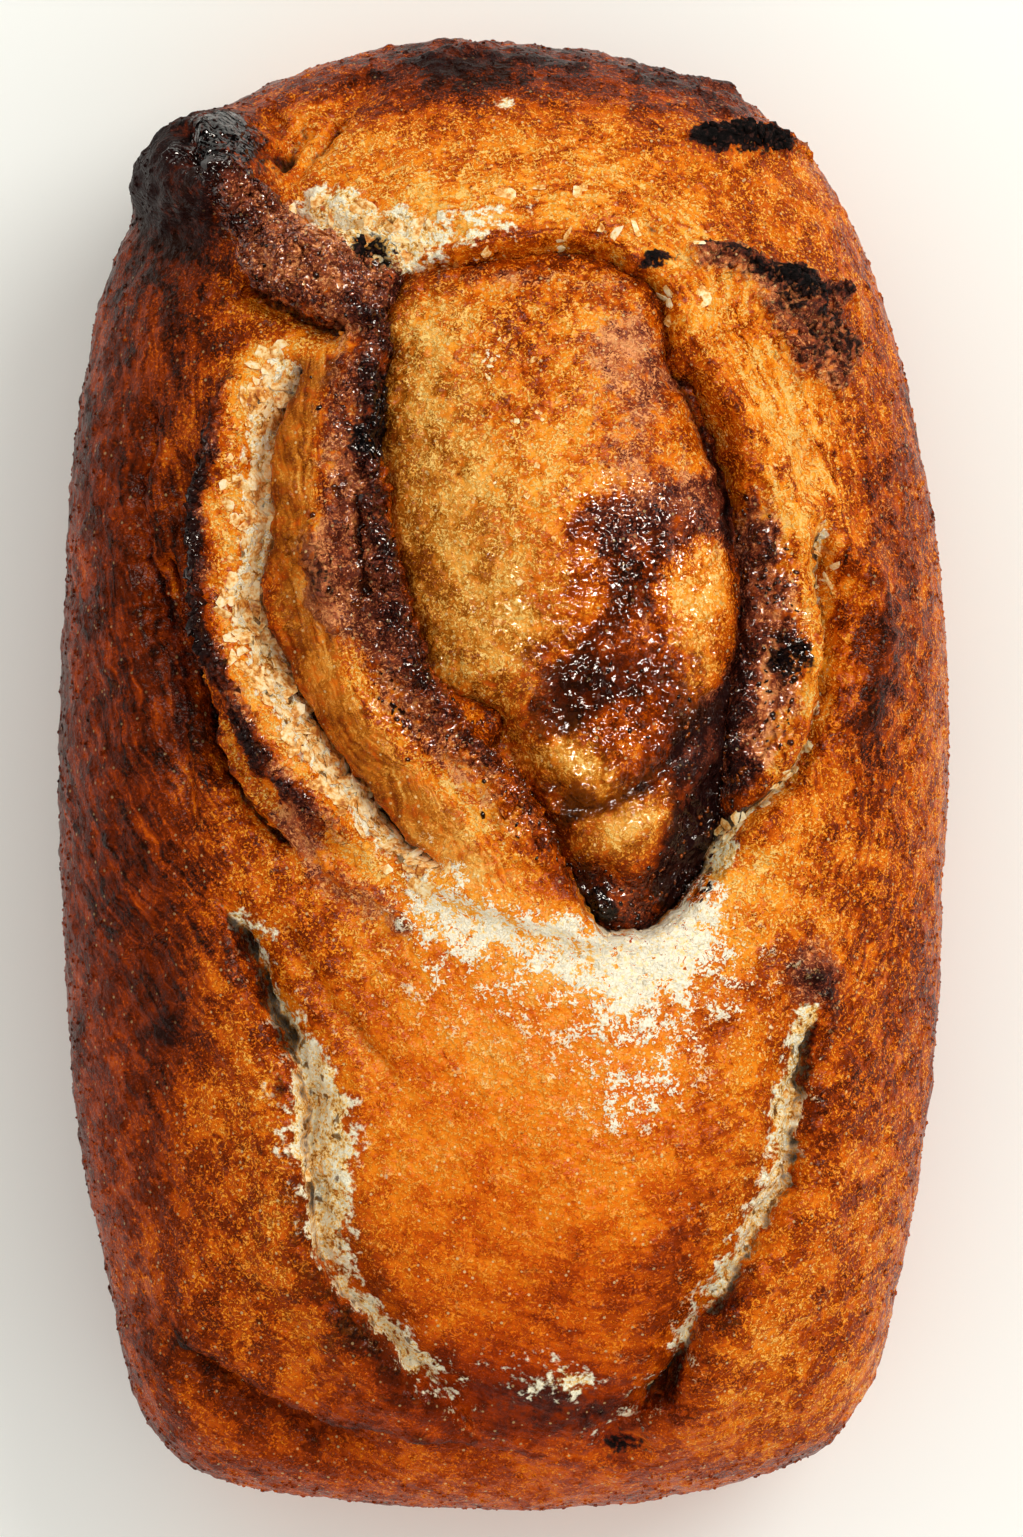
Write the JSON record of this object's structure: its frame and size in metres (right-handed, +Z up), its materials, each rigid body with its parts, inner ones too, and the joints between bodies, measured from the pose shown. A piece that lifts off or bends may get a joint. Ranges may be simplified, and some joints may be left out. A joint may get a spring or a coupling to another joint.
{
  "type": "sourdough loaf",
  "caption": "Long pan-shaped sourdough loaf with a dark torn crust, a glazed dome rising through its collar, and a burnt horn at one corner.",
  "frame": {"origin": "on the surface the loaf rests on, under the middle of its box", "axes": "+Z up from the flat base, +Y along the loaf towards the end with the burnt horn, +X to the side away from the horn"},
  "size_m": [0.146, 0.2406, 0.0865],
  "materials": {
    "crust": "satin"
  },
  "bodies": {
    "root": {"loaf": "crust"}
  },
  "joints": []
}
